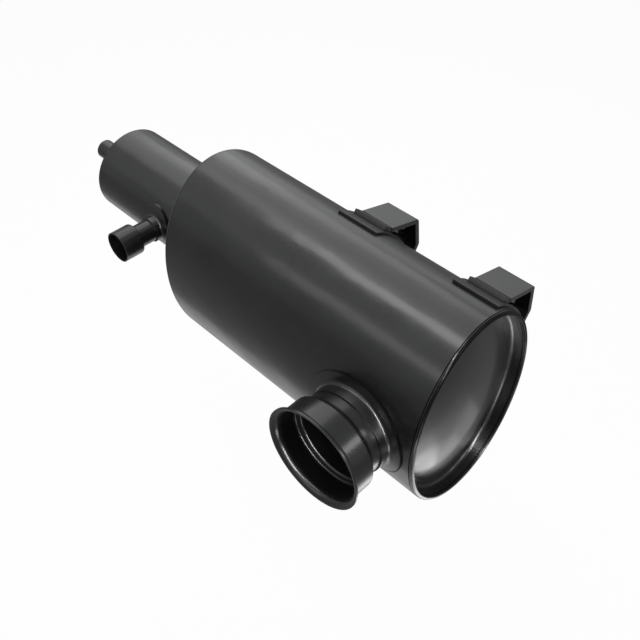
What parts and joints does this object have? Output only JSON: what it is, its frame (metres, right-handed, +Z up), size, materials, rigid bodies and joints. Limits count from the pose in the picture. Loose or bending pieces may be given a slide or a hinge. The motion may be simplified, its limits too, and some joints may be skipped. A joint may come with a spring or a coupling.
{
  "type": "oval exhaust muffler with rear chamber",
  "caption": "Black oval exhaust muffler with a side inlet socket, a smaller round rear chamber with its own side port and end pipe, and strap brackets.",
  "frame": {"origin": "on the inlet axis, where the straight bore of the inlet socket begins", "axes": "+X along the body to its front end, -Y out of the inlet socket, +Z up, near the oval's long axis"},
  "size_m": [0.6535, 0.2764, 0.2976],
  "materials": {
    "black_paint": "semi-gloss black paint",
    "inner_steel": "plain steel, unpainted"
  },
  "bodies": {
    "root": {"main_shell": "black_paint", "front_head": "black_paint", "rear_head": "black_paint", "rear_chamber_shell": "black_paint", "rear_chamber_cap": "black_paint", "inlet_collar": "black_paint", "inlet_pipe": "black_paint", "side_port_collar": "black_paint", "side_port_pipe": "black_paint", "end_pipe": "black_paint", "chamber_weld": "black_paint", "end_pipe_weld": "black_paint", "bracket_pad_front": "black_paint", "bracket_pad_rear": "black_paint", "bracket_front": "black_paint", "bracket_rear": "black_paint", "inlet_diffuser": "inner_steel", "front_baffle": "inner_steel", "rear_baffle": "inner_steel", "transfer_tube_upper": "inner_steel", "transfer_tube_lower": "inner_steel", "outlet_tube": "inner_steel", "core_support": "inner_steel"}
  },
  "joints": []
}
